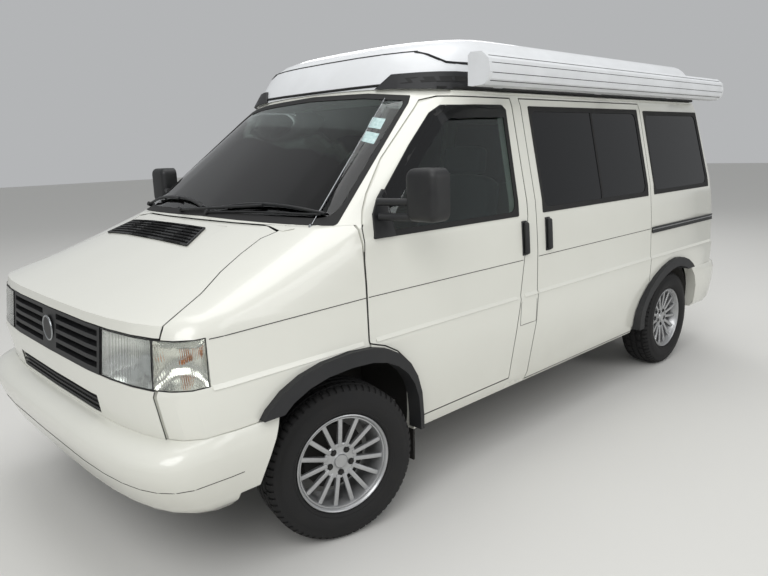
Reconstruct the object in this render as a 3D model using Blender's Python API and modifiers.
"""Camper van with a rising roof, a side awning and right-hand drive.

Metres, +Z up. The van faces -Y and its left side is +X. While it is modelled,
y = 0 is the front axle; the last step slides it back so that the origin is on
the ground under the middle of its length.
"""
import math

import bmesh
import bpy
from mathutils import Matrix, Vector

# Overall size
WHEELBASE = 2.92
FRONT_OVERHANG = 0.885
REAR_OVERHANG = 0.850
BODY_TAIL = WHEELBASE + 0.980
FRONT_TRACK = 1.589
REAR_TRACK = 1.554
CENTRE_SHIFT = (FRONT_OVERHANG - WHEELBASE - REAR_OVERHANG) / 2.0

# Body sheet and gaps
WALL = 0.055
ROOF_THICKNESS = 0.055
SEAT_GAP = 0.0003
DOOR_GAP = 0.006
GLASS_THICKNESS = 0.006
GLASS_RECESS = 0.004

# Body heights
SILL_BOTTOM = 0.335
SILL_TOP = 0.392
BELT = 1.195
WINDOW_TOP = 1.718
DOOR_TOP = 1.757
ROOF_TOP = 1.815
ROOF_EDGE = 1.789
ROOF_CROWN = 0.024
ROOF_HALF = 0.745
BUMPER_TOP = 0.632
LAMP_BOTTOM = 0.804
LAMP_TOP = 0.968
BONNET_FRONT_EDGE = 0.973
COWL = 1.254
FLOOR_TOP = 0.440
FLOOR_THICKNESS = 0.036

# Body sections from sill to roof, each one a rounded outline seen from above.
# height, half width, nose y, nose depth, nose power, tail behind the rear axle, tail depth, nose wall
BODY_SECTIONS = (
    (0.335, 0.868, -0.735, 0.28, 3.5, 0.740, 0.16, 0.050),
    (0.385, 0.886, -0.755, 0.28, 3.5, 0.752, 0.16, 0.050),
    (0.620, 0.902, -0.790, 0.28, 3.5, 0.764, 0.16, 0.050),
    (0.785, 0.909, -0.812, 0.26, 3.5, 0.770, 0.16, 0.050),
    (0.806, 0.902, -0.805, 0.25, 3.5, 0.766, 0.16, 0.050),
    (0.966, 0.898, -0.787, 0.25, 3.4, 0.762, 0.16, 0.050),
    (1.010, 0.897, -0.787, 0.30, 3.3, 0.760, 0.16, 0.060),
    (1.035, 0.896, -0.715, 0.34, 3.2, 0.758, 0.16, 0.080),
    (1.080, 0.893, -0.585, 0.38, 3.0, 0.756, 0.16, 0.090),
    (1.164, 0.887, -0.355, 0.40, 2.9, 0.748, 0.16, 0.090),
    (1.243, 0.879, -0.145, 0.38, 2.9, 0.736, 0.16, 0.075),
    (1.262, 0.877, -0.100, 0.36, 2.9, 0.733, 0.16, 0.070),
    (1.720, 0.783, 0.487, 0.36, 2.9, 0.640, 0.15, 0.065),
    (1.775, 0.762, 0.555, 0.36, 2.9, 0.625, 0.15, 0.060),
    (1.790, 0.745, 0.575, 0.36, 2.9, 0.610, 0.15, 0.060),
    (1.815, 0.700, 0.605, 0.34, 2.9, 0.590, 0.15, 0.060),
)
NOSE_POINTS = 7
TAIL_POINTS = 4

# Bonnet seen from above: half width and y of its shut line, front to back
BONNET_SHUT_LINE = (
    (0.800, -0.700), (0.727, -0.520), (0.661, -0.400), (0.616, -0.285), (0.590, -0.175), (0.612, -0.110),
)
BONNET_REAR = ((0.530, -0.095), (0.270, -0.110), (0.0, -0.118), (-0.270, -0.110), (-0.530, -0.095))
PANEL_HALF = 0.790
LAMP_REAR = -0.600

# Wheel arches seen from the side, as half ovals above the base height
# centre y, reach forward, reach back, rise, power forward, power back
ARCH_BASE = 0.420
FRONT_ARCH = (-0.030, 0.470, 0.390, 0.370, 2.4, 2.4)
REAR_ARCH = (WHEELBASE - 0.020, 0.530, 0.400, 0.335, 1.7, 2.0)
FRONT_HOLE = (-0.030, 0.410, 0.368, 0.310, 2.4, 2.4)
REAR_HOLE = (WHEELBASE - 0.020, 0.470, 0.340, 0.275, 1.7, 2.0)
FRONT_HOUSE = (-0.030, 0.458, 0.460, 0.358, 2.4, 2.4)
REAR_HOUSE = (WHEELBASE - 0.020, 0.480, 0.420, 0.315, 2.0, 2.0)
HOUSE_WALL = 0.015
FLARE_PROUD = 0.030
ARCH_POINTS = 7

# Doors seen from the side
DOOR_FRONT = 0.090
DOOR_REAR = 1.190
SLIDER_FRONT = 1.262
SLIDER_REAR = WHEELBASE - 0.380
DOOR_ARCH_GAP = 0.008
DOOR_REBATE = 0.020

# Wheels
TYRE_RADIUS = 0.324
TYRE_WIDTH = 0.205
TYRE_STEPS = 32
RIM_RADIUS = 0.203
RIM_HALF_WIDTH = 0.0885
RIM_STEPS = 30
SPOKES = 15
HUB_RADIUS = 0.060
WHEEL_HEIGHT = TYRE_RADIUS * math.cos(math.pi / TYRE_STEPS)
KINGPIN_X = FRONT_TRACK / 2.0 - 0.1045
KNUCKLE_DROP = 0.110
STEER_NOW = -13.2

MATERIALS = {
    # name: colour, roughness, metallic
    "off_white_paint": ((0.78, 0.78, 0.72), 0.28, 0.0),
    "roof_white": ((0.80, 0.82, 0.84), 0.40, 0.0),
    "charcoal_plastic": ((0.035, 0.036, 0.040), 0.60, 0.0),
    "black_plastic": ((0.015, 0.015, 0.016), 0.55, 0.0),
    "tyre_rubber": ((0.020, 0.020, 0.021), 0.85, 0.0),
    "cast_alloy": ((0.55, 0.54, 0.52), 0.35, 0.9),
    "tinted_glass": ((0.02, 0.025, 0.03), 0.05, 0.0),
    "clear_glass": ((0.25, 0.30, 0.30), 0.05, 0.0),
    "lamp_glass": ((0.60, 0.60, 0.55), 0.10, 0.0),
    "red_lamp": ((0.40, 0.02, 0.02), 0.20, 0.0),
    "dark_steel": ((0.05, 0.05, 0.05), 0.60, 0.6),
    "seat_fabric": ((0.12, 0.13, 0.15), 0.90, 0.0),
    "wood_laminate": ((0.45, 0.33, 0.20), 0.50, 0.0),
    "roof_canvas": ((0.45, 0.46, 0.48), 0.90, 0.0),
}

PARTS = "camper_van"
GUIDES = "cutters_and_guides"


def clear_scene():
    """Remove what the new file holds and make the two collections."""
    for obj in list(bpy.data.objects):
        bpy.data.objects.remove(obj, do_unlink=True)
    for name in (PARTS, GUIDES):
        collection = bpy.data.collections.new(name)
        bpy.context.scene.collection.children.link(collection)


def material(name, node):
    """Give one node its own Principled material from the named finish."""
    colour, roughness, metallic = MATERIALS[name]
    made = bpy.data.materials.new(node + "_" + name)
    made.use_nodes = True
    shader = made.node_tree.nodes["Principled BSDF"]
    shader.inputs["Base Color"].default_value = (*colour, 1.0)
    shader.inputs["Roughness"].default_value = roughness
    shader.inputs["Metallic"].default_value = metallic
    return made


def add_object(name, mesh, finish=None):
    """Link a mesh as a part, or as a guide when it has no finish."""
    obj = bpy.data.objects.new(name, mesh)
    bpy.data.collections[PARTS if finish else GUIDES].objects.link(obj)
    if finish:
        if not mesh.materials:
            mesh.materials.append(None)
        obj.material_slots[0].link = "OBJECT"
        obj.material_slots[0].material = material(finish, name)
    else:
        obj.hide_render = True
        obj.display_type = "WIRE"
    return obj


def from_bmesh(name, bm, finish=None):
    """Turn a bmesh into an object with its faces pointing out."""
    bmesh.ops.recalc_face_normals(bm, faces=bm.faces)
    mesh = bpy.data.meshes.new(name)
    bm.to_mesh(mesh)
    bm.free()
    return add_object(name, mesh, finish)


def prism(name, outline, axis, low, high, finish=None):
    """Extrude a flat outline along X, Y or Z between two places."""
    places = {
        "X": lambda a, b: (low, a, b),
        "Y": lambda a, b: (a, low, b),
        "Z": lambda a, b: (a, b, low),
    }
    step = Vector([high - low if axis == one else 0.0 for one in "XYZ"])
    bm = bmesh.new()
    face = bm.faces.new([bm.verts.new(places[axis](a, b)) for a, b in outline])
    grown = bmesh.ops.extrude_face_region(bm, geom=[face])
    moved = [item for item in grown["geom"] if isinstance(item, bmesh.types.BMVert)]
    bmesh.ops.translate(bm, verts=moved, vec=step)
    return from_bmesh(name, bm, finish)


def block(name, xs, ys, zs, finish=None, round_by=0.0):
    """Make a box between two corners, with rounded edges if asked."""
    bm = bmesh.new()
    size = Vector((xs[1] - xs[0], ys[1] - ys[0], zs[1] - zs[0]))
    middle = Vector((sum(xs), sum(ys), sum(zs))) / 2.0
    bmesh.ops.create_cube(bm, size=1.0, matrix=Matrix.Translation(middle) @ Matrix.Diagonal((*size, 1.0)))
    obj = from_bmesh(name, bm, finish)
    if round_by:
        soften(obj, round_by)
    return obj


def rod(name, start, end, radius, finish=None, sides=12):
    """Make a round bar between two points."""
    start, end = Vector(start), Vector(end)
    run = end - start
    turn = run.to_track_quat("Z", "Y").to_matrix().to_4x4()
    bm = bmesh.new()
    bmesh.ops.create_cone(
        bm, cap_ends=True, segments=sides, radius1=radius, radius2=radius, depth=run.length,
        matrix=Matrix.Translation((start + end) / 2.0) @ turn,
    )
    return from_bmesh(name, bm, finish)


def loft(name, rings, finish=None):
    """Join closed rings of equal length, lowest first, and cap both ends."""
    bm = bmesh.new()
    rows = [[bm.verts.new(point) for point in ring] for ring in rings]
    count = len(rows[0])
    for below, above in zip(rows, rows[1:]):
        for i in range(count):
            j = (i + 1) % count
            bm.faces.new((below[i], below[j], above[j], above[i]))
    bmesh.ops.triangulate(bm, faces=bm.faces)
    bm.faces.new(reversed(rows[0]))
    bm.faces.new(rows[-1])
    return from_bmesh(name, bm, finish)


def soften(obj, width, segments=2):
    """Round an object's edges."""
    bevel = obj.modifiers.new("rounded_edges", "BEVEL")
    bevel.width = width
    bevel.segments = segments
    bevel.limit_method = "ANGLE"


def boolean(obj, other, operation):
    """Cut, keep or join with another object."""
    change = obj.modifiers.new(operation.lower() + "_" + other.name, "BOOLEAN")
    change.operation = operation
    change.object = other
    change.solver = "EXACT"
    return obj


def cut(obj, *others):
    """Take each of the others away."""
    for other in others:
        boolean(obj, other, "DIFFERENCE")
    return obj


def keep(obj, other):
    """Keep only what is inside the other."""
    return boolean(obj, other, "INTERSECT")


def join(obj, *others):
    """Fuse each of the others on."""
    for other in others:
        boolean(obj, other, "UNION")
    return obj


def mirrored(points):
    """Swap an outline over the middle of the van."""
    return [(-a, b) for a, b in points]


def body_ring(section, inset):
    """One body outline seen from above, drawn in by a wall."""
    height, half, nose, depth, power, tail, tail_depth, nose_wall = section
    share = 0.0 if not inset else nose_wall / WALL
    front = nose + inset * share
    rear = WHEELBASE + tail - inset
    half = half - inset
    depth = max(depth - inset * share, 0.10)
    points = []
    for i in range(NOSE_POINTS + 1):
        angle = math.radians(90.0 * i / NOSE_POINTS)
        x = half * math.sin(angle) ** (2.0 / power)
        y = front + depth * (1.0 - math.cos(angle) ** (2.0 / power))
        points.append((x, y))
    for i in range(TAIL_POINTS + 1):
        angle = math.radians(90.0 * i / TAIL_POINTS)
        x = half * math.cos(angle) ** (2.0 / 3.0)
        y = rear - tail_depth * (1.0 - math.sin(angle) ** (2.0 / 3.0))
        points.append((x, y))
    right = [(-x, y) for x, y in points[1:-1]]
    return [(x, y, height) for x, y in points + right[::-1]]


def section_at(height):
    """Work out the body section at any height."""
    for low, high in zip(BODY_SECTIONS, BODY_SECTIONS[1:]):
        if low[0] <= height <= high[0]:
            part = (height - low[0]) / (high[0] - low[0])
            return tuple(a + (b - a) * part for a, b in zip(low, high))
    return BODY_SECTIONS[0] if height < BODY_SECTIONS[0][0] else BODY_SECTIONS[-1]


def body_solid(name, inset, bottom=None, top=None):
    """The body's solid form, drawn in by an inset, between two heights."""
    bottom = SILL_BOTTOM if bottom is None else bottom
    top = ROOF_TOP if top is None else top
    heights = [s[0] for s in BODY_SECTIONS if max(bottom, SILL_BOTTOM) < s[0] < min(top, ROOF_TOP)]
    rings = []
    for height in [bottom] + heights + [top]:
        ring = body_ring(section_at(height), inset)
        rings.append([(x, y, height) for x, y, _ in ring])
    return loft(name, rings)


def arch_outline(arch, grow, low, points=ARCH_POINTS):
    """A wheel arch seen from the side as (y, z) points, closed below."""
    centre, ahead, behind, rise, power_ahead, power_behind = arch
    outline = [(centre - ahead - grow, low)]
    for i in range(points + 1):
        angle = math.radians(90.0 * i / points)
        y = centre - (ahead + grow) * math.cos(angle) ** (2.0 / power_ahead)
        outline.append((y, ARCH_BASE + (rise + grow) * math.sin(angle) ** (2.0 / power_ahead)))
    for i in range(1, points + 1):
        angle = math.radians(90.0 * i / points)
        y = centre + (behind + grow) * math.sin(angle) ** (2.0 / power_behind)
        outline.append((y, ARCH_BASE + (rise + grow) * math.cos(angle) ** (2.0 / power_behind)))
    outline.append((centre + behind + grow, low))
    return outline


def inset_outline(points, distance):
    """Draw a closed outline in by a distance, corner by corner."""
    area = sum(a[0] * b[1] - b[0] * a[1] for a, b in zip(points, points[1:] + points[:1]))
    turn = 1.0 if area > 0 else -1.0
    moved = []
    for before, here, after in zip([points[-1]] + points[:-1], points, points[1:] + [points[0]]):
        a = (Vector(here) - Vector(before)).normalized()
        b = (Vector(after) - Vector(here)).normalized()
        normal_a = Vector((-a.y, a.x)) * turn
        normal_b = Vector((-b.y, b.x)) * turn
        middle = (normal_a + normal_b).normalized()
        reach = distance / max(middle.dot(normal_a), 0.35)
        moved.append(tuple(Vector(here) + middle * reach))
    return moved


def front_door_outline():
    """The front door seen from the side, from its front top corner on."""
    arch = [p for p in arch_outline(FRONT_ARCH, DOOR_ARCH_GAP, SILL_TOP) if p[0] > DOOR_FRONT]
    pillar = [
        (0.705, DOOR_TOP), (0.640, 1.742), (0.575, 1.689), (0.336, 1.497), (0.196, 1.366), (0.145, 1.304),
        (0.107, 1.243), (0.092, 1.120), (DOOR_FRONT, 0.792),
    ]
    return pillar + arch + [
        (1.035, SILL_TOP), (1.108, 0.800), (DOOR_REAR, BELT), (DOOR_REAR, DOOR_TOP)]


FRONT_WINDOW = [
    (0.152, 1.199), (0.177, 1.285), (0.225, 1.339), (0.462, 1.548), (0.624, 1.681), (0.690, 1.714),
    (1.105, WINDOW_TOP), (1.128, 1.700), (1.108, 1.199),
]
SLIDER_WINDOW = [
    (1.325, 1.199), (1.325, WINDOW_TOP), (WHEELBASE - 0.430, WINDOW_TOP), (WHEELBASE - 0.420, 1.199),
]
QUARTER_WINDOW = [
    (WHEELBASE - 0.330, 1.202), (WHEELBASE - 0.339, 1.712), (WHEELBASE + 0.470, 1.712), (WHEELBASE + 0.534, 1.202),
]
WINDSCREEN = [
    (-0.795, 1.262), (-0.650, 1.729), (-0.628, 1.761), (-0.400, 1.785), (0.0, 1.797), (0.400, 1.785),
    (0.628, 1.761), (0.650, 1.729), (0.795, 1.262), (0.550, 1.266), (0.0, 1.272), (-0.550, 1.266),
]
TAILGATE = [(-0.700, 0.650), (-0.700, 1.200), (-0.590, 1.725), (0.590, 1.725), (0.700, 1.200), (0.700, 0.650)]
TAILGATE_WINDOW = [(-0.610, 1.205), (-0.530, 1.660), (0.530, 1.660), (0.610, 1.205)]
TAIL_RANGE = (WHEELBASE + 0.380, BODY_TAIL)
DOOR_REBATE_OUTLINE = [
    (1.015, 0.370), (1.088, 0.800), (DOOR_REAR - 0.018, BELT), (DOOR_REAR - 0.018, 1.820), (1.230, 1.820),
    (1.230, 0.370),
]


def slider_outline():
    """The sliding door seen from the side."""
    arch = [p for p in arch_outline(REAR_ARCH, DOOR_GAP, SILL_BOTTOM) if p[0] < SLIDER_REAR]
    return (
        [(SLIDER_FRONT, DOOR_TOP), (SLIDER_FRONT, 1.0), (1.252, 0.650), (1.190, SILL_BOTTOM + 0.010)]
        + [(arch[0][0], SILL_BOTTOM + 0.010)]
        + arch[1:]
        + [(SLIDER_REAR, arch[-1][1] + 0.025), (SLIDER_REAR, DOOR_TOP)]
    )


def side_prism(name, outline, side, finish=None, reach=(0.40, 1.05)):
    """Extrude a side outline across one side of the body only."""
    low, high = reach if side > 0 else (-reach[1], -reach[0])
    return prism(name, outline, "X", low, high, finish)


def shell_panel(name, outline, side, finish, gap=DOOR_GAP / 2.0):
    """A piece of the body side inside a side outline."""
    piece = side_prism(name, inset_outline(outline, gap), side, finish)
    return keep(piece, bpy.data.objects["body_shell"])


def roof_arch(name, lift):
    """A prism that fills all the space below the arched roof surface."""
    steps = 8
    outline = [(-1.0, 0.20), (-1.0, ROOF_EDGE + lift)]
    for i in range(steps + 1):
        x = ROOF_HALF * (2.0 * i / steps - 1.0)
        outline.append((x, ROOF_EDGE + ROOF_CROWN * (1.0 - (x / ROOF_HALF) ** 2) + lift))
    outline += [(1.0, ROOF_EDGE + lift), (1.0, 0.20)]
    return prism(name, outline, "Y", -1.2, BODY_TAIL)


def make_guides():
    """The body's shell and the forms that cut it, used by many panels."""
    shell = body_solid("body_shell", 0.0)
    keep(shell, roof_arch("below_roof", 0.0))
    cut(shell, body_solid("body_inside", WALL, bottom=0.25, top=ROOF_TOP - ROOF_THICKNESS))
    glass = body_solid("glass_layer", GLASS_RECESS)
    cut(glass, body_solid("glass_inside", GLASS_RECESS + GLASS_THICKNESS, bottom=0.25, top=1.850))
    body_solid("body_outside", 0.0)
    skin = body_solid("skin_layer", -0.014, bottom=0.80, top=1.70)
    cut(skin, body_solid("skin_inside", -0.0005, bottom=0.70, top=1.75))
    body_solid("inner_fit", WALL + SEAT_GAP, bottom=0.25, top=ROOF_TOP - ROOF_THICKNESS - SEAT_GAP)
    body_solid("inner_layer", DOOR_REBATE, bottom=0.30, top=1.800)
    for side, word in ((1, "left"), (-1, "right")):
        reach = (0.40, 1.05)
        side_prism("cut_arch_front_" + word, arch_outline(FRONT_ARCH, 0.0, 0.20), side, reach=reach)
        side_prism("cut_arch_rear_" + word, arch_outline(REAR_ARCH, 0.0, 0.20), side, reach=reach)
        side_prism("cut_front_window_" + word, FRONT_WINDOW, side, reach=reach)
        side_prism("cut_slider_window_" + word, SLIDER_WINDOW, side, reach=reach)
        side_prism("cut_quarter_window_" + word, QUARTER_WINDOW, side, reach=reach)
        side_prism("cut_front_door_" + word, inset_outline(front_door_outline(), -DOOR_GAP / 2), side)
        rebate = side_prism("door_rebate_" + word, DOOR_REBATE_OUTLINE, side, reach=reach)
        keep(rebate, guide("inner_layer"))
    side_prism("cut_slider_left", inset_outline(slider_outline(), -DOOR_GAP / 2), 1)
    prism("cut_windscreen", WINDSCREEN, "Y", -0.60, 0.95)
    prism("cut_tailgate", inset_outline(TAILGATE, -DOOR_GAP / 2), "Y", *TAIL_RANGE)
    prism("cut_tailgate_window", TAILGATE_WINDOW, "Y", *TAIL_RANGE)


def guide(name):
    """Find a guide by its name."""
    return bpy.data.objects[name]


def make_front():
    """Bonnet, wings, front panel, lamps, grille and bumper."""
    shut = list(BONNET_SHUT_LINE)
    nose_corner = (shut[0][0], -1.0)
    outline = [nose_corner] + shut + list(BONNET_REAR) + mirrored(shut)[::-1] + [(-nose_corner[0], -1.0)]
    bonnet = prism("bonnet", inset_outline(outline, DOOR_GAP / 2), "Z", BONNET_FRONT_EDGE, COWL - 0.005,
                   "off_white_paint")
    keep(bonnet, guide("body_shell"))
    for side, word in ((1, "left"), (-1, "right")):
        corner = block("bonnet_corner_" + word, sorted([side * 0.565, side * 0.650]), (-0.220, -0.040), (1.00, 1.30))
        cut(bonnet, keep(corner, guide("inner_layer")))
        hinge = block("bonnet_hinge_" + word, sorted([side * 0.24, side * 0.30]), (-0.150, -0.0877), (1.205, 1.240))
        join(bonnet, hinge)
    vent = [(0.264, -0.313), (0.184, -0.199), (-0.530, -0.190), (-0.560, -0.290)]
    for i in range(4):
        low, high = (i + 0.12) / 4.0, (i + 0.88) / 4.0
        slot = []
        for end, at in ((0, low), (0, high), (1, high), (1, low)):
            a, b = (vent[0], vent[1]) if end == 0 else (vent[3], vent[2])
            slot.append((a[0] + (b[0] - a[0]) * at, a[1] + (b[1] - a[1]) * at))
        cut(bonnet, prism("cut_vent_%d" % i, slot, "Z", 0.9, 1.4))

    for side, word in ((1, "left"), (-1, "right")):
        wing_plan = [(side * nose_corner[0], -1.0)] + [(side * x, y) for x, y in shut]
        wing_plan += [(side * 0.60, DOOR_FRONT - DOOR_GAP / 2), (side * 1.0, DOOR_FRONT - DOOR_GAP / 2)]
        wing_plan += [(side * 1.0, -1.0)]
        wing_plan = inset_outline(wing_plan, DOOR_GAP / 2)
        wing = prism("front_wing_" + word, wing_plan, "Z", 0.36, COWL, "off_white_paint")
        keep(wing, guide("body_shell"))
        lamp_zone = sorted([side * 0.70, side * 1.0])
        cut(wing, block("cut_lamp_" + word, lamp_zone, (-0.95, LAMP_REAR + SEAT_GAP),
                        (LAMP_BOTTOM - SEAT_GAP, LAMP_TOP + SEAT_GAP)))
        cut(wing, guide("cut_arch_front_" + word))
        below_lamp = sorted([side * 0.50, side * (PANEL_HALF + SEAT_GAP)])
        cut(wing, block("cut_wing_nose_" + word, below_lamp, (-0.95, -0.488), (0.30, LAMP_BOTTOM)))
        behind_bumper = sorted([side * 0.50, side * 1.0])
        cut(wing, block("cut_wing_foot_" + word, behind_bumper, (-0.95, -0.20), (0.30, BUMPER_TOP + 0.002)))
        cut(wing, block("cut_wing_heel_" + word, behind_bumper, (-0.20, 0.20), (0.30, 0.45)))

    panel = block("front_panel", (-PANEL_HALF, PANEL_HALF), (-0.95, -0.495), (0.3437, LAMP_BOTTOM - 0.003),
                  "off_white_paint")
    keep(panel, guide("body_shell"))
    cut(panel, block("cut_lower_slot", (-0.43, 0.43), (-0.95, -0.60), (0.645, 0.715)))

    for side, word in ((1, "left"), (-1, "right")):
        plan = [
            (0.482, -0.95), (0.95, -0.95), (0.95, LAMP_REAR), (0.830, LAMP_REAR), (0.776, -0.64), (0.482, -0.70)]
        lamp = prism("headlamp_" + word, [(side * x, y) for x, y in plan], "Z", LAMP_BOTTOM, LAMP_TOP, "lamp_glass")
        keep(lamp, guide("body_outside"))
        groove = block("cut_lamp_joint_" + word, sorted([side * 0.7765, side * 0.7815]), (-0.95, -0.735),
                       (LAMP_BOTTOM - 0.01, LAMP_TOP + 0.01))
        cut(lamp, groove)

    grille = block("radiator_grille", (-0.478, 0.478), (-0.95, -0.735), (LAMP_BOTTOM - 0.0027, LAMP_TOP), "black_plastic")
    keep(grille, guide("body_outside"))
    for i in range(4):
        low = LAMP_BOTTOM + 0.018 + i * 0.037
        for side in (1, -1):
            xs = sorted([side * 0.075, side * 0.460])
            cut(grille, block("cut_grille_%d_%d" % (i, side), xs, (-0.95, -0.757), (low, low + 0.022)))

    make_front_bumper()


def bumper_ring(height, half, front, depth, power, inset):
    """The front bumper's outline seen from above, with its straight sides."""
    half, front = half - inset, front + inset
    points = []
    for i in range(9):
        angle = math.radians(90.0 * i / 8)
        points.append((half * math.sin(angle) ** (2.0 / power),
                       front + depth * (1.0 - math.cos(angle) ** (2.0 / power))))
    points.append((half, 0.05))
    right = [(-x, y) for x, y in points[1:]]
    return [(x, y, height) for x, y in points + right[::-1]]


FRONT_BUMPER = (
    # height, half width, front y, corner depth, corner power
    (0.325, 0.822, -0.750, 0.28, 3.4),
    (0.365, 0.870, -0.800, 0.30, 3.6),
    (0.400, 0.892, -0.830, 0.30, 3.8),
    (0.500, 0.912, -0.868, 0.30, 4.0),
    (0.560, 0.920, -0.885, 0.30, 4.0),
    (0.590, 0.918, -0.875, 0.30, 4.0),
    (0.612, 0.914, -0.845, 0.30, 3.8),
    (BUMPER_TOP, 0.908, -0.800, 0.28, 3.5),
)
BUMPER_SKIN = 0.025
TAIL_LAMP_FRONT = WHEELBASE + 0.640
REAR_BUMPER = (
    # height, half width, distance behind the rear axle, corner depth
    (0.325, 0.870, 0.770, 0.20),
    (0.370, 0.893, 0.822, 0.20),
    (0.500, 0.908, 0.845, 0.20),
    (0.590, 0.910, 0.850, 0.20),
    (0.632, 0.905, 0.835, 0.20),
    (0.646, 0.898, 0.805, 0.20),
)


def make_front_bumper():
    """The front bumper, open behind and below, with slanted rear ends."""
    bumper = loft("front_bumper", [bumper_ring(*row, 0.0) for row in FRONT_BUMPER], "off_white_paint")
    inner = [bumper_ring(*row, BUMPER_SKIN) for row in FRONT_BUMPER[:6]]
    lowest = [(x, y, 0.20) for x, y, _ in inner[0]]
    highest = [(x, y, 0.602) for x, y, _ in inner[-1]]
    cut(bumper, loft("bumper_hollow", [lowest] + inner + [highest]))
    core = block("bumper_core", (-PANEL_HALF - 0.002, PANEL_HALF + 0.002), (-1.0, 0.30), (0.20, 0.70))
    keep(core, body_solid("bumper_core_form", -SEAT_GAP, bottom=0.25, top=0.70))
    cut(bumper, core)
    cut(bumper, block("cut_bumper_shelf", (-0.890, 0.890), (-0.520, 0.30), (0.20, 0.70)))
    ends = [(-0.478, 0.30), (-0.355, BUMPER_TOP), (-0.355, 0.70), (0.30, 0.70), (0.30, 0.20), (-0.515, 0.20)]
    cut(bumper, prism("cut_bumper_ends", ends, "X", -1.0, 1.0))


def make_rear():
    """Rear panel, tailgate, tail lamps and rear bumper."""
    tailgate = prism("tailgate", inset_outline(TAILGATE, DOOR_GAP / 2), "Y", *TAIL_RANGE, "off_white_paint")
    keep(tailgate, guide("body_shell"))
    cut(tailgate, guide("cut_tailgate_window"))
    for side, word in ((1, "left"), (-1, "right")):
        hinge = block("tailgate_hinge_" + word, sorted([side * 0.30, side * 0.38]),
                      (WHEELBASE + 0.600, WHEELBASE + 0.625), (1.712, 1.7278))
        join(tailgate, hinge)
    pane = prism("tailgate_glass", inset_outline(TAILGATE_WINDOW, SEAT_GAP), "Y", *TAIL_RANGE, "tinted_glass")
    keep(pane, guide("glass_layer"))
    for side, word in ((1, "left"), (-1, "right")):
        xs = sorted([side * 0.730, side * 0.95])
        lamp = block("tail_lamp_" + word, xs, (TAIL_LAMP_FRONT, BODY_TAIL), (0.800, 1.180), "red_lamp")
        keep(lamp, guide("body_outside"))

    rings = []
    for height, half, rear, depth in REAR_BUMPER:
        points = []
        for i in range(7):
            angle = math.radians(90.0 * i / 6)
            points.append((half * math.sin(angle) ** (2.0 / 3.0),
                           WHEELBASE + rear - depth * (1.0 - math.cos(angle) ** (2.0 / 3.0))))
        points.append((half, WHEELBASE + 0.03))
        right = [(-x, y) for x, y in points[1:]]
        rings.append([(x, y, height) for x, y in points + right[::-1]])
    bumper = loft("rear_bumper", rings, "off_white_paint")
    cut(bumper, body_solid("rear_bumper_core", -SEAT_GAP, bottom=0.25, top=0.70))
    cut(bumper, block("cut_bumper_front", (-1.0, 1.0), (WHEELBASE - 0.02, WHEELBASE + 0.25), (0.30, 0.70)))
    for side, word in ((1, "left"), (-1, "right")):
        cut(bumper, guide("cut_arch_rear_" + word))


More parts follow.
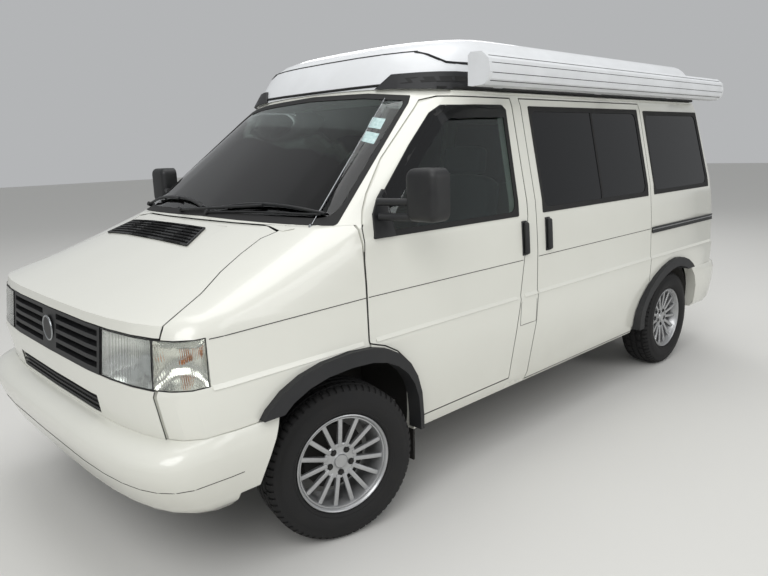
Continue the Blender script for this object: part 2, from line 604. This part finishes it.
def make_sides():
    """Side panels with pillars, roof, doors and side glass."""
    for side, word in ((1, "left"), (-1, "right")):
        outline = [
            (DOOR_FRONT + DOOR_GAP / 2, 0.36), (DOOR_FRONT + DOOR_GAP / 2, COWL + 0.0006), (-0.30, COWL + 0.0006),
            (-0.30, 1.86), (BODY_TAIL, 1.86), (BODY_TAIL, SILL_BOTTOM), (0.30, SILL_BOTTOM), (0.30, 0.36),
        ]
        low, high = (0.0003, 1.0) if side > 0 else (-1.0, -0.0003)
        panel = prism("side_panel_" + word, outline, "X", low, high, "off_white_paint")
        keep(panel, guide("body_shell"))
        cut(panel, guide("cut_windscreen"), guide("cut_tailgate"), guide("cut_front_door_" + word))
        cut(panel, guide("cut_quarter_window_" + word), guide("cut_arch_front_" + word))
        cut(panel, guide("cut_arch_rear_" + word))
        inner = sorted([0.0, side * 0.5960])
        cut(panel, block("cut_roof_" + word, inner, (0.30, BODY_TAIL), (1.728, 1.88)))
        cut(panel, block("cut_tail_lamp_" + word, sorted([side * 0.7295, side * 1.0]),
                         (TAIL_LAMP_FRONT - 0.0005, BODY_TAIL), (0.7995, 1.1805)))
        cut(panel, block("cut_rear_low_" + word, sorted([0.0, side * 0.700]), TAIL_RANGE, (0.30, 0.66)))
        if side > 0:
            cut(panel, guide("cut_slider_left"))
        else:
            cut(panel, guide("cut_slider_window_right"))

        door = shell_panel("front_door_" + word, front_door_outline(), side, "off_white_paint")
        cut(door, guide("cut_front_window_" + word), guide("door_rebate_" + word))
        cut(door, block("cut_door_rear_" + word, sorted([side * 0.40, side * 1.05]),
                        (DOOR_REAR - 0.0045, DOOR_REAR + 0.030), (0.300, 1.850)))
        for i, low in enumerate((0.830, 1.060)):
            leaf = block("door_hinge_%s_%d" % (word, i), sorted([side * 0.850, side * 0.872]),
                         (DOOR_FRONT - DOOR_GAP / 2 - 0.0025, DOOR_FRONT + 0.012), (low, low + 0.080))
            join(door, leaf)
        glass = side_prism("front_door_glass_" + word, inset_outline(FRONT_WINDOW, SEAT_GAP), side, "clear_glass")
        keep(glass, guide("glass_layer"))
        glass = side_prism("quarter_glass_" + word, inset_outline(QUARTER_WINDOW, SEAT_GAP), side, "tinted_glass")
        keep(glass, guide("glass_layer"))
        glass = side_prism("side_glass_" + word, inset_outline(SLIDER_WINDOW, SEAT_GAP), side, "tinted_glass")
        keep(glass, guide("glass_layer"))

    slider = shell_panel("sliding_door", slider_outline(), 1, "off_white_paint")
    cut(slider, guide("cut_slider_window_left"))

    roof = block("roof_panel", (-0.5957, 0.5957), (0.30, BODY_TAIL), (1.7283, 1.88), "off_white_paint")
    keep(roof, guide("body_shell"))
    cut(roof, guide("cut_windscreen"))
    cut(roof, guide("cut_tailgate"))
    cut(roof, block("cut_roof_hole", (-0.520, 0.520), (0.98, WHEELBASE + 0.08), (1.60, 1.90)))

    screen = prism("windscreen", inset_outline(WINDSCREEN, SEAT_GAP), "Y", -0.60, 0.80, "clear_glass")
    keep(screen, guide("glass_layer"))


def make_arches():
    """Charcoal wheel-arch trims, cut off where the bumpers cover them."""
    ahead = [(-0.485, 0.20), (-0.345, 0.640), (-1.0, 0.640), (-1.0, 0.20)]
    behind = [
        (WHEELBASE + 0.08, 0.20), (WHEELBASE + 0.08, 0.652), (WHEELBASE + 0.68, 0.652), (WHEELBASE + 0.68, 0.20)]
    base = section_at(0.70)[1]
    for side, word in ((1, "left"), (-1, "right")):
        for name, arch, hole, covered in (
                ("front", FRONT_ARCH, FRONT_HOLE, ahead), ("rear", REAR_ARCH, REAR_HOLE, behind)):
            reach = (base - 0.040, base + FLARE_PROUD)
            outline = arch_outline(arch, -0.0005, 0.36)
            trim = side_prism("%s_arch_trim_%s" % (name, word), outline, side, "charcoal_plastic", reach)
            inside = arch_outline(hole, 0.0, 0.20)
            cut(trim, side_prism("cut_%s_trim_%s" % (name, word), inside, side, reach=(0.80, 1.05)))
            cut(trim, side_prism("cut_%s_covered_%s" % (name, word), covered, side, reach=(0.80, 1.05)))


def make_floor():
    """Floor pan with rear wheel boxes, bulkhead and cowl."""
    floor = block("floor_pan", (-0.9, 0.9), (0.0503, WHEELBASE + 0.68), (FLOOR_TOP - FLOOR_THICKNESS, FLOOR_TOP),
                  "dark_steel")
    keep(floor, guide("inner_fit"))
    for side, word in ((1, "left"), (-1, "right")):
        xs = sorted([side * 0.4694, side * 0.95])
        cut(floor, block("cut_floor_corner_" + word, xs, (0.0, 0.4303), (0.30, 0.60)))
        xs = sorted([side * 0.826, side * 0.95])
        cut(floor, block("cut_floor_door_" + word, xs, (0.40, DOOR_REAR + 0.010), (0.30, 0.60)))
    rear_panel = block("rear_panel", (-0.6997, 0.6997), (WHEELBASE + 0.53, BODY_TAIL), (SILL_BOTTOM, 0.6440))
    join(floor, keep(rear_panel, guide("body_shell")))
    tie = block("floor_tail", (-0.68, 0.68), (WHEELBASE + 0.63, WHEELBASE + 0.70),
                (FLOOR_TOP - FLOOR_THICKNESS, FLOOR_TOP))
    join(floor, tie)
    box_inner_x = REAR_TRACK / 2.0 - 0.217
    for side, word in ((1, "left"), (-1, "right")):
        box_outer = side_prism("rear_box_" + word, arch_outline(REAR_HOUSE, 0.0, 0.41), side,
                               reach=(box_inner_x, 0.83))
        join(floor, box_outer)
    for side, word in ((1, "left"), (-1, "right")):
        box_inner = side_prism("rear_box_hole_" + word, arch_outline(REAR_HOUSE, -HOUSE_WALL, 0.20), side,
                               reach=(box_inner_x + HOUSE_WALL, 1.05))
        cut(floor, box_inner)

    web = [(0.020, 0.420), (0.020, 1.205), (-0.120, 1.205), (-0.120, 1.230), (0.050, 1.230), (0.050, 0.420)]
    bulkhead = prism("bulkhead", web, "X", -0.9, 0.9, "dark_steel")
    keep(bulkhead, guide("inner_fit"))
    plate_edge = [(0.0, -0.30), (0.0, -0.095), (0.40, -0.082), (0.58, -0.050), (0.66, -0.020), (0.66, -0.30)]
    house_inner_x = FRONT_TRACK / 2.0 - 0.3245
    for side, word in ((1, "left"), (-1, "right")):
        cut(bulkhead, prism("cut_cowl_plate_" + word, [(side * x, y) for x, y in plate_edge], "Z", 1.19, 1.25))
        house = side_prism("wheel_house_" + word, arch_outline(FRONT_HOUSE, 0.0, ARCH_BASE), side, None,
                           (house_inner_x, 0.828))
        xs = sorted([side * 0.700, side * 0.812])
        flap = [(0.418, 0.470), (0.428, 0.470), (0.428, 0.400), (0.424, 0.152), (0.412, 0.150), (0.418, 0.400)]
        join(bulkhead, house, prism("mudflap_" + word, flap, "X", xs[0], xs[1]))
    for side, word in ((1, "left"), (-1, "right")):
        cut(bulkhead, side_prism("cut_house_" + word, arch_outline(FRONT_HOUSE, -HOUSE_WALL, 0.10),
                                 side, None, (house_inner_x + HOUSE_WALL, 1.05)))


ROOF_REAR = WHEELBASE + 0.520
ROOF_FORM = (
    # height, half width, front y, front depth, front power, rear y
    (1.780, 0.748, 0.580, 0.31, 3.2, ROOF_REAR),
    (1.868, 0.738, 0.615, 0.33, 2.8, ROOF_REAR),
    (1.908, 0.727, 0.640, 0.33, 2.8, ROOF_REAR - 0.006),
    (1.945, 0.712, 0.662, 0.33, 2.8, ROOF_REAR - 0.010),
    (1.975, 0.695, 0.690, 0.33, 2.8, ROOF_REAR - 0.014),
    (2.005, 0.672, 0.735, 0.34, 2.8, ROOF_REAR - 0.022),
    (2.028, 0.645, 0.800, 0.34, 2.8, ROOF_REAR - 0.036),
    (2.040, 0.620, 0.880, 0.34, 2.8, ROOF_REAR - 0.050),
    (2.045, 0.580, 0.980, 0.32, 2.8, ROOF_REAR - 0.070),
)
ROOF_HOLLOW = (
    (1.700, 0.702, 0.640, 0.32, 2.8, ROOF_REAR - 0.045),
    (1.868, 0.700, 0.655, 0.32, 2.8, ROOF_REAR - 0.045),
    (1.908, 0.692, 0.678, 0.32, 2.8, ROOF_REAR - 0.045),
    (1.945, 0.676, 0.700, 0.32, 2.8, ROOF_REAR - 0.050),
    (1.975, 0.656, 0.732, 0.32, 2.8, ROOF_REAR - 0.060),
    (2.000, 0.622, 0.790, 0.32, 2.8, ROOF_REAR - 0.075),
    (2.020, 0.575, 0.880, 0.32, 2.8, ROOF_REAR - 0.100),
)
# The joint between the fixed cap and the lid, seen from the side
LID_SEAM = (
    (0.40, 1.970), (0.755, 1.970), (0.775, 1.950), (0.795, 1.925), (0.815, 1.912), (0.850, 1.908),
    (BODY_TAIL, 1.908),
)
LID_GAP = 0.0005


def roof_ring(height, half, front, depth, power, rear, inset=0.0):
    """The raised roof's outline seen from above."""
    points = []
    for i in range(8):
        angle = math.radians(90.0 * i / 7)
        points.append(((half - inset) * math.sin(angle) ** (2.0 / power),
                       front + inset + (depth - inset) * (1.0 - math.cos(angle) ** (2.0 / power))))
    points.append((half - inset, rear - inset))
    right = [(-x, y) for x, y in points[1:]]
    return [(x, y, height) for x, y in points + right[::-1]]


def make_roof():
    """Fixed roof base and cap, side bands, lid, folded canvas and awning."""
    base = loft("roof_base", [roof_ring(*section) for section in ROOF_FORM], "roof_white")
    lid = loft("roof_lid", [roof_ring(*section) for section in ROOF_FORM], "roof_white")
    hollow = loft("roof_hollow", [roof_ring(*section) for section in ROOF_HOLLOW])
    above = [(y, z) for y, z in LID_SEAM] + [(BODY_TAIL, 2.20), (0.40, 2.20)]
    below = [(y, z + LID_GAP) for y, z in LID_SEAM] + [(BODY_TAIL, 1.60), (0.40, 1.60)]
    cut(base, prism("cut_above_seam", above, "X", -1.0, 1.0), roof_arch("roof_seat", SEAT_GAP), hollow)
    cut(lid, prism("cut_below_seam", below, "X", -1.0, 1.0), hollow)
    for side, word in ((1, "left"), (-1, "right")):
        slant = [(0.415, 1.7800), (0.500, 1.868), (1.0, 1.868), (1.0, 1.7800)]
        band = prism("roof_band_" + word, [(side * x, z) for x, z in slant], "Y", 0.40, ROOF_REAR - 0.040,
                     "charcoal_plastic")
        keep(band, loft("band_outside_" + word, [roof_ring(*section, -0.014) for section in ROOF_FORM[:3]]))
        cut(band, loft("band_inside_" + word, [roof_ring(*section, -SEAT_GAP) for section in ROOF_FORM[:3]]))
        cut(band, roof_arch("band_seat_" + word, SEAT_GAP))
    rear = WHEELBASE + 0.130
    canvas = block("roof_canvas", (-0.600, 0.600), (1.05, rear), (1.770, 1.900), "roof_canvas")
    cut(canvas, block("cut_canvas", (-0.560, 0.560), (1.09, rear - 0.040), (1.70, 2.0)))
    cut(canvas, roof_arch("canvas_seat", SEAT_GAP))

    section = [
        (0.8670, 1.800), (0.8670, 1.915), (0.880, 1.928), (0.940, 1.925), (0.975, 1.895), (0.984, 1.850),
        (0.975, 1.812), (0.950, 1.790), (0.885, 1.788),
    ]
    awning = prism("awning_cassette", section, "Y", 0.75, 3.35, "roof_white")
    bracket = [(0.7602, 1.800), (0.7532, 1.862), (0.870, 1.880), (0.870, 1.815)]
    for i, y in enumerate((1.10, 2.05, 3.00)):
        join(awning, prism("awning_bracket_%d" % i, bracket, "Y", y - 0.03, y + 0.03))


def revolve(name, profile, steps, closed):
    """Turn an (r, z) profile about Z with a Screw and return its mesh."""
    mesh = bpy.data.meshes.new(name)
    points = [(r, 0.0, z) for r, z in profile]
    edges = [(i, i + 1) for i in range(len(points) - 1)]
    if closed:
        edges.append((len(points) - 1, 0))
    mesh.from_pydata(points, edges, [])
    obj = add_object(name, mesh)
    screw = obj.modifiers.new("turn", "SCREW")
    screw.steps = steps
    screw.render_steps = steps
    screw.use_merge_vertices = True
    screw.merge_threshold = 0.0001
    screw.use_normal_calculate = True
    return obj


def baked(obj, name):
    """The evaluated mesh of an object as a new mesh with faces out."""
    graph = bpy.context.evaluated_depsgraph_get()
    graph.update()
    mesh = bpy.data.meshes.new_from_object(obj.evaluated_get(graph))
    mesh.name = name
    bm = bmesh.new()
    bm.from_mesh(mesh)
    bmesh.ops.recalc_face_normals(bm, faces=bm.faces)
    bm.to_mesh(mesh)
    bm.free()
    return mesh


TYRE_HALF = (
    # radius, distance from the middle
    (0.1910, 0.0735), (0.2036, 0.0792), (0.2150, 0.0930), (0.2450, TYRE_WIDTH / 2), (0.2850, 0.1000),
    (0.3130, 0.0900), (TYRE_RADIUS, 0.0680),
)
RIM_FACE = (
    # radius, distance from the middle, outer face first and round to the back
    (0.000, 0.066), (HUB_RADIUS, 0.062), (0.168, 0.074), (0.184, 0.070), (0.192, 0.0885),
    (RIM_RADIUS, 0.0885), (0.1905, 0.0745), (0.176, 0.050), (0.176, -0.050),
    (0.1905, -0.0745), (RIM_RADIUS, -0.0885), (0.168, -0.050),
    (0.168, 0.045), (HUB_RADIUS, 0.036), (0.055, 0.010), (0.000, 0.010),
)


def spoke_windows():
    """One cutter holding the windows between the spokes."""
    bm = bmesh.new()
    for i in range(SPOKES):
        middle = 2.0 * math.pi * (i + 0.5) / SPOKES
        pitch = math.pi / SPOKES
        corners = []
        for radius, bar in ((0.078, 0.0075), (0.163, 0.0055)):
            half = pitch - math.asin(bar / radius)
            for sign in ((-1, 1) if radius < 0.1 else (1, -1)):
                angle = middle + sign * half
                corners.append((radius * math.cos(angle), radius * math.sin(angle), -0.02))
        face = bm.faces.new([bm.verts.new(c) for c in corners])
        grown = bmesh.ops.extrude_face_region(bm, geom=[face])
        moved = [item for item in grown["geom"] if isinstance(item, bmesh.types.BMVert)]
        bmesh.ops.translate(bm, verts=moved, vec=(0.0, 0.0, 0.14))
    return from_bmesh("spoke_windows", bm)


def hold(obj, empty):
    """Parent an object to an empty and leave it where it is."""
    obj.parent = empty
    obj.matrix_parent_inverse = empty.matrix_world.inverted()


def axis_empty(name, place, turn=0.0, parent=None):
    """An empty on a joint's axis."""
    empty = bpy.data.objects.new(name, None)
    empty.location = place
    empty.rotation_euler = (0.0, 0.0, math.radians(turn))
    bpy.data.collections[PARTS].objects.link(empty)
    if parent:
        empty.parent = parent
    bpy.context.view_layer.update()
    return empty


def make_wheels():
    """Four tyres and rims, the steered knuckles and both axles."""
    other_half = tuple((r, -z) for r, z in reversed(TYRE_HALF))
    tyre_mesh = baked(revolve("tyre_form", TYRE_HALF + other_half, TYRE_STEPS, True), "tyre")
    rim_form = revolve("rim_form", RIM_FACE, RIM_STEPS, False)
    cut(rim_form, spoke_windows())
    rim_mesh = baked(rim_form, "rim")
    half_step = math.pi / TYRE_STEPS
    for side, word in ((1, "left"), (-1, "right")):
        pin = axis_empty("kingpin_" + word, (side * KINGPIN_X, 0.0, WHEEL_HEIGHT), STEER_NOW)
        for place, track, y, parent in (("front", FRONT_TRACK, 0.0, pin), ("rear", REAR_TRACK, WHEELBASE, None)):
            centre = Vector((side * track / 2.0, y, WHEEL_HEIGHT))
            for kind, mesh, finish in (("tyre", tyre_mesh, "tyre_rubber"), ("rim", rim_mesh, "cast_alloy")):
                name = "%s_%s_%s" % (kind, place, word)
                obj = add_object(name, mesh.copy(), finish)
                spin = half_step if kind == "tyre" else 0.0
                turn = Matrix.Rotation(side * math.pi / 2.0, 4, "Y") @ Matrix.Rotation(spin, 4, "Z")
                obj.rotation_euler = turn.to_euler("XYZ")
                if parent:
                    obj.parent = parent
                    obj.location = centre - Vector(parent.location)
                else:
                    obj.location = centre
        knuckle = block("knuckle_" + word, sorted([side * -0.040, side * 0.010]), (-0.045, 0.045), (-KNUCKLE_DROP, 0.130),
                        "dark_steel", 0.006)
        hub_face = FRONT_TRACK / 2.0 - KINGPIN_X + 0.0097
        hub = rod("hub_" + word, (0.0, 0.0, 0.0), (side * hub_face, 0.0, 0.0), 0.050, sides=20)
        disc = rod("brake_disc_" + word, (side * (hub_face - 0.040), 0, 0), (side * (hub_face - 0.018), 0, 0), 0.135, sides=24)
        join(knuckle, hub, disc)
        knuckle.parent = pin
        hub.parent = pin
        disc.parent = pin

    beam = block("front_subframe", (-0.42, 0.42), (-0.30, 0.11), (0.185, 0.245), "dark_steel", 0.010)
    rear = block("rear_axle", (-0.40, 0.40), (WHEELBASE - 0.42, WHEELBASE - 0.32), (0.290, 0.360), "dark_steel", 0.010)
    floor_underside = FLOOR_TOP - FLOOR_THICKNESS - SEAT_GAP
    for side, word in ((1, "left"), (-1, "right")):
        plan = [(0.38, -0.09), (0.38, 0.09), (0.650, 0.030), (0.715, 0.020), (0.715, -0.020), (0.650, -0.030)]
        arm = prism("lower_arm_" + word, [(side * x, y) for x, y in plan], "Z", 0.176, 0.204)
        ball = rod("ball_joint_" + word, (side * KINGPIN_X, 0.0, 0.190),
                   (side * KINGPIN_X, 0.0, WHEEL_HEIGHT - KNUCKLE_DROP - 0.0005), 0.018)
        bracket = block("subframe_bracket_" + word, sorted([side * 0.36, side * 0.42]), (0.055, 0.108),
                        (0.240, floor_underside))
        join(beam, arm, ball, bracket)
        arm = prism("trailing_arm_" + word, [
            (side * 0.30, WHEELBASE - 0.38), (side * 0.60, WHEELBASE - 0.30), (side * 0.66, WHEELBASE + 0.06),
            (side * 0.58, WHEELBASE + 0.06), (side * 0.52, WHEELBASE - 0.20), (side * 0.30, WHEELBASE - 0.30)],
                    "Z", 0.295, 0.345)
        hub_face = REAR_TRACK / 2.0 + 0.0097
        hub = rod("rear_hub_" + word, (side * 0.59, WHEELBASE, WHEEL_HEIGHT), (side * hub_face, WHEELBASE, WHEEL_HEIGHT),
                  0.050, sides=20)
        bracket = block("axle_bracket_" + word, sorted([side * 0.30, side * 0.38]),
                        (WHEELBASE - 0.41, WHEELBASE - 0.33), (0.350, floor_underside))
        join(rear, arm, hub, bracket)


def make_underside():
    """Engine block, cross-members, fuel tank and exhaust."""
    block("engine_block", (-0.40, 0.30), (-0.62, -0.14), (0.2455, 0.860), "dark_steel", 0.02)


def make_inside():
    """Dashboard, steering wheel, seats, bench and kitchen unit."""
    dash = [(0.0503, 0.850), (0.0503, 1.218), (0.160, 1.228), (0.330, 1.190), (0.420, 1.080), (0.400, 0.860), (0.250, 0.80)]
    dashboard = prism("dashboard", dash, "X", -0.816, 0.816, "black_plastic")
    keep(dashboard, body_solid("dashboard_fit", WALL + DOOR_GAP, bottom=0.60, top=1.40))
    for side, word in ((1, "left"), (-1, "right")):
        seat = [
            (0.62, FLOOR_TOP + SEAT_GAP), (0.66, 0.78), (0.60, 0.84), (0.66, 0.90), (1.08, 0.87), (1.22, 1.38),
            (1.20, 1.52), (1.26, 1.54), (1.34, 1.50), (1.30, 1.20), (1.20, 0.80), (1.16, FLOOR_TOP + SEAT_GAP)]
        xs = sorted([side * 0.18, side * 0.66])
        prism("seat_" + word, seat, "X", xs[0], xs[1], "seat_fabric")
    bench = [
        (WHEELBASE - 0.62, FLOOR_TOP + SEAT_GAP), (WHEELBASE - 0.62, 0.82), (WHEELBASE - 0.56, 0.86),
        (WHEELBASE - 0.10, 0.84), (WHEELBASE, 1.30), (WHEELBASE + 0.10, 1.30),
        (WHEELBASE + 0.08, FLOOR_TOP + SEAT_GAP),
    ]
    prism("rear_bench", bench, "X", -0.22, 0.55, "seat_fabric")
    block("kitchen_unit", (-0.8200, -0.42), (1.42, 2.26), (FLOOR_TOP + SEAT_GAP, 1.150), "wood_laminate")
    make_steering_wheel()


COLUMN_FOOT = Vector((-0.42, 0.33, 1.02))
COLUMN_LEAN = math.radians(38.0)


def make_steering_wheel():
    """A four-spoke wheel on its column, which stays on the dashboard."""
    along = Vector((0.0, math.cos(COLUMN_LEAN), math.sin(COLUMN_LEAN)))
    centre = COLUMN_FOOT + along * 0.20
    ring_mesh = bmesh.new()
    count, sides, big, small = 28, 8, 0.195, 0.014
    rows = []
    for i in range(count):
        angle = 2 * math.pi * i / count
        row = []
        for j in range(sides):
            turn = 2 * math.pi * j / sides
            reach = big + small * math.cos(turn)
            row.append(ring_mesh.verts.new((reach * math.cos(angle), reach * math.sin(angle), small * math.sin(turn))))
        rows.append(row)
    for i in range(count):
        for j in range(sides):
            a, b = rows[i], rows[(i + 1) % count]
            ring_mesh.faces.new((a[j], b[j], b[(j + 1) % sides], a[(j + 1) % sides]))
    rim = from_bmesh("steering_wheel", ring_mesh, "black_plastic")
    hub = rod("steering_hub", (0, 0, -0.035), (0, 0, 0.010), 0.060, sides=16)
    bars = block("steering_bars", (-0.19, 0.19), (-0.018, 0.018), (-0.010, 0.006))
    low = block("steering_bar_low", (-0.018, 0.018), (-0.19, 0.0), (-0.010, 0.006))
    join(rim, hub, bars, low)
    turn = along.to_track_quat("Z", "Y")
    for obj in (rim, hub, bars, low):
        obj.rotation_mode = "QUATERNION"
        obj.rotation_quaternion = turn
        obj.location = centre
    column = rod("steering_column", COLUMN_FOOT - along * 0.08, centre - along * 0.0355, 0.028, None, 12)
    join(bpy.data.objects["dashboard"], column)


MIRROR_FOOT = [(0.146, 1.194), (0.166, 1.291), (0.216, 1.350), (0.256, 1.386), (0.266, 1.380), (0.266, 1.194)]


def make_mirrors():
    """Door mirrors on two arms, with a foot plate in the window's front corner."""
    for side, word in ((1, "left"), (-1, "right")):
        xs = sorted([side * 0.985, side * 1.140])
        head = block("mirror_" + word, xs, (0.215, 0.305), (1.262, 1.462), "black_plastic", 0.022)
        for i, (z, start) in enumerate(((1.278, 0.8765), (1.335, 0.8650))):
            arm = rod("mirror_arm_%s_%d" % (word, i), (side * start, 0.190, z), (side * 1.03, 0.255, z), 0.013, sides=8)
            join(head, arm)
        foot = side_prism("mirror_foot_" + word, MIRROR_FOOT, side)
        keep(foot, guide("skin_layer"))
        join(head, foot)


def main():
    """Build the van and put its origin under its middle."""
    clear_scene()
    make_guides()
    make_front()
    make_rear()
    make_sides()
    make_arches()
    make_floor()
    make_roof()
    make_wheels()
    make_underside()
    make_inside()
    make_mirrors()
    for obj in bpy.data.objects:
        if obj.parent is None:
            obj.location.y += CENTRE_SHIFT


main()
